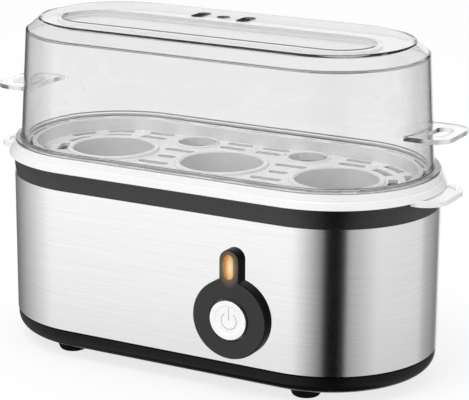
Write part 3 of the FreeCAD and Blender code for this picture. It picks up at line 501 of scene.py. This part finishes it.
# Painted shade: the shoulder and the vent sides are coloured near black, as dark lines of refraction.
for mask, shade in (
    (apart_from(walls), 0.5),
    (inner_walls, 0.98),
    (shoulder, 0.07),
    (bevel, 0.85),
    (crown, 0.76),
    (crown_rim, 0.95),
    (vent_sides, 0.06),
    (recess_sides, 0.9),
    (tabs, 0.97),
    (tab_sides, 0.85),
):
    lid_cast_and_shade = laid_over(clear_lid, lid_cast_and_shade, mask, shade)
tint(clear_lid, shader, lid_cast_and_shade)
clearness = reckon(clear_lid, "MULTIPLY_ADD", recess_sides, -recess_cloud, 1)
links.new(clearness, shader.inputs["Transmission Weight"])
dull = reckon(clear_lid, "MULTIPLY_ADD", grain(clear_lid, size=0.006), haze_spread, haze_start)
for mask, more in ((vent_sides, 0.4), (tab_sides, 0.3), (recess_sides, 0.6)):
    dull = reckon(clear_lid, "MULTIPLY_ADD", mask, more, dull)
links.new(dull, shader.inputs["Roughness"])
clear_way = nodes.new("ShaderNodeBsdfTransparent")
clear_way.inputs["Color"].default_value = (0.99, 0.992, 0.995, 1)
ray = nodes.new("ShaderNodeLightPath")
through = nodes.new("ShaderNodeMixShader")
links.new(ray.outputs["Is Shadow Ray"], through.inputs["Fac"])
links.new(shader.outputs["BSDF"], through.inputs[1])
links.new(clear_way.outputs["BSDF"], through.inputs[2])
links.new(through.outputs["Shader"], nodes["Material Output"].inputs["Surface"])
coat_nodes(clear_lid, "lid")

recess_middle = -0.0064
recess_half_width = 0.015
recess_end = 0.0555
rim_line = 0.00024
rim_steps = 12
# Painted shade: a dark grey line along the recess's front edge, for the dark line refraction draws
# there.
recess_edge_shade, shader = new_finish("recess_edge_shade", roughness=0.3)
mottle(recess_edge_shade, shader, size=0.002, dark=(0.14, 0.14, 0.143), light=(0.20, 0.20, 0.203))
rim_points = []
for end, first_turn in ((-recess_end, math.pi), (recess_end, 1.5 * math.pi)):
    for i in range(rim_steps + 1):
        turn = first_turn + math.pi / 2 * i / rim_steps
        across = end + recess_half_width * math.cos(turn)
        rim_points.append((across, recess_middle + recess_half_width * math.sin(turn), lid_high.z))
recess_edge_shade_line = fine_line("recess_edge_shade_line", rim_points, rim_line, recess_edge_shade)
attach(recess_edge_shade_line, "lid")


# Floor: a wide sheet of white studio paper that the cooker stands on, no part of it.
# To the eye the paper is white by a glow of its own, and it keeps the cooker's soft shadow.
floor_reach = 3.0
floor_corners = [(-floor_reach, -floor_reach, 0), (floor_reach, -floor_reach, 0),
                 (floor_reach, floor_reach, 0), (-floor_reach, floor_reach, 0)]
floor_mesh = bpy.data.meshes.new("floor")
floor_mesh.from_pydata(floor_corners, [], [(0, 1, 2, 3)])
floor = bpy.data.objects.new("floor", floor_mesh)
bpy.context.scene.collection.objects.link(floor)
floor_white = bpy.data.materials.new("floor_white")
floor_white.use_nodes = True
nodes = floor_white.node_tree.nodes
links = floor_white.node_tree.links


def looked_at(holder, *kinds):
    """1 for rays of these kinds that come from the eye by way of clear or shiny surfaces only."""
    ray = holder.node_tree.nodes.new("ShaderNodeLightPath")
    wanted = ray.outputs[kinds[0]]
    for kind in kinds[1:]:
        wanted = reckon(holder, "MAXIMUM", wanted, ray.outputs[kind])
    direct = reckon(holder, "LESS_THAN", ray.outputs["Diffuse Depth"], 1)
    return reckon(holder, "MULTIPLY", wanted, direct)


bounce = nodes.new("ShaderNodeBsdfDiffuse")
bounce.inputs["Color"].default_value = (*grey(0.85), 1)
shadow_catch = nodes.new("ShaderNodeBsdfDiffuse")
shadow_catch.inputs["Color"].default_value = (*grey(0.22), 1)
paper_glow = nodes.new("ShaderNodeEmission")
paper_glow.inputs["Strength"].default_value = 0.78
shown = nodes.new("ShaderNodeAddShader")
links.new(shadow_catch.outputs["BSDF"], shown.inputs[0])
links.new(paper_glow.outputs["Emission"], shown.inputs[1])
paper = nodes.new("ShaderNodeMixShader")
links.new(looked_at(floor_white, "Is Camera Ray", "Is Transmission Ray"), paper.inputs["Fac"])
links.new(bounce.outputs["BSDF"], paper.inputs[1])
links.new(shown.outputs["Shader"], paper.inputs[2])
links.new(paper.outputs["Shader"], nodes["Material Output"].inputs["Surface"])
floor_mesh.materials.append(floor_white)
floor.visible_glossy = False


# Light: a white surround and one large soft lamp above the front. Tall curved cards round the
# cooker and one card below it run from white to black and are seen only in shiny surfaces.
scene = bpy.context.scene
scene.view_settings.view_transform = "Standard"
world = bpy.data.worlds.new("surround")
scene.world = world
world.use_nodes = True
nodes = world.node_tree.nodes
links = world.node_tree.links
fill = nodes["Background"]
fill.inputs["Color"].default_value = (1, 1, 1, 1)
fill.inputs["Strength"].default_value = 0.81
seen = nodes.new("ShaderNodeBackground")
seen.inputs["Color"].default_value = (1, 1, 1, 1)
seen.inputs["Strength"].default_value = 1.0
surround = nodes.new("ShaderNodeMixShader")
to_the_eye = looked_at(world, "Is Camera Ray", "Is Glossy Ray", "Is Transmission Ray")
links.new(to_the_eye, surround.inputs["Fac"])
links.new(fill.outputs["Background"], surround.inputs[1])
links.new(seen.outputs["Background"], surround.inputs[2])
links.new(surround.outputs["Shader"], nodes["World Output"].inputs["Surface"])

key_place = Vector((-0.10, -0.68, 1.38))
key_target = Vector((0, 0, 0.06))
key_data = bpy.data.lights.new("key", "AREA")
key_data.shape = "DISK"
key_data.size = 0.8
key_data.energy = 7.5
key = bpy.data.objects.new("key", key_data)
key.location = key_place
key.rotation_euler = (key_target - key_place).to_track_quat("-Z", "Y").to_euler()
key.visible_glossy = False
scene.collection.objects.link(key)

card_distance = 1.6
card_half_height = 3.0
card_steps = 8
card_paint = bpy.data.materials.new("card_paint")
card_paint.use_nodes = True
nodes = card_paint.node_tree.nodes
links = card_paint.node_tree.links
card_shade = nodes.new("ShaderNodeAttribute")
card_shade.attribute_name = "shade"
card_glow = nodes.new("ShaderNodeEmission")
links.new(card_shade.outputs["Color"], card_glow.inputs["Color"])
links.new(card_glow.outputs["Emission"], nodes["Material Output"].inputs["Surface"])


def stand_card(name, points, faces, shades):
    """A card of the studio with a grey at each point, seen only in shiny surfaces."""
    mesh = bpy.data.meshes.new(name)
    mesh.from_pydata(points, [], faces)
    colours = mesh.color_attributes.new("shade", "FLOAT_COLOR", "POINT")
    for element, level in zip(colours.data, shades):
        element.color = (*grey(level), 1)
    mesh.materials.append(card_paint)
    card = bpy.data.objects.new(name, mesh)
    scene.collection.objects.link(card)
    card.visible_camera = False
    card.visible_diffuse = False
    card.visible_transmission = False
    card.visible_shadow = False


def graded_card(name, first_turn, last_turn, first_shade, last_shade):
    """A tall curved card between two turns, in degrees from the front to the right, fading across."""
    upward = Vector((0, 0, card_half_height))
    points = []
    shades = []
    for i in range(card_steps + 1):
        turn = math.radians(first_turn + (last_turn - first_turn) * i / card_steps)
        middle = Vector((math.sin(turn), -math.cos(turn), 0)) * card_distance
        points += [middle - upward, middle + upward]
        shades += [first_shade + (last_shade - first_shade) * i / card_steps] * 2
    faces = [(2 * i, 2 * i + 2, 2 * i + 3, 2 * i + 1) for i in range(card_steps)]
    stand_card(name, points, faces, shades)


graded_card("card_front_fade", -8, 22.5, 0.96, 0.16)
graded_card("card_black", 22.5, 45, 0.0, 0.0)
graded_card("card_right", 45, 75, 0.40, 0.76)
graded_card("card_far_right", 75, 136, 0.80, 0.76)
graded_card("card_back_right", 136, 180, 0.55, 0.15)
graded_card("card_left", -56, -112, 0.93, 0.26)
graded_card("card_far_left", -112, -136, 0.26, 0.10)

# The card below is painted shade: it stands for the floor's shadow mirrored in the base's rolled edge.
below_depth = 1.1
below_radius = 0.7
below_sides = 32
below_shade = 0.06
below_rim = []
for i in range(below_sides):
    turn = 2 * math.pi * i / below_sides
    below_rim.append((below_radius * math.cos(turn), below_radius * math.sin(turn), -below_depth))
stand_card("card_below", below_rim, [tuple(range(below_sides))], [below_shade] * below_sides)


# Camera: a long lens at the photograph's viewing angle, without shift or depth of field.
# Its place and turn were fitted to the edges of the body, the lid and the tabs.
picture_width = 469
focal_length = 2000
film_width = 36.0
camera_place = Vector((0.386613, -0.697737, 0.289886))
camera_right = Vector((0.8770584, 0.4803575, 0.0050235))
camera_up = Vector((-0.1345230, 0.2355526, 0.9625064))
camera_back = camera_right.cross(camera_up)
camera_turn = Matrix((camera_right, camera_up, camera_back)).transposed().to_4x4()
camera_data = bpy.data.cameras.new("camera")
camera_data.sensor_width = film_width
camera_data.lens = focal_length / picture_width * film_width
camera_data.clip_start = 0.05
camera = bpy.data.objects.new("camera", camera_data)
camera.matrix_world = Matrix.Translation(camera_place) @ camera_turn
scene.collection.objects.link(camera)
scene.camera = camera
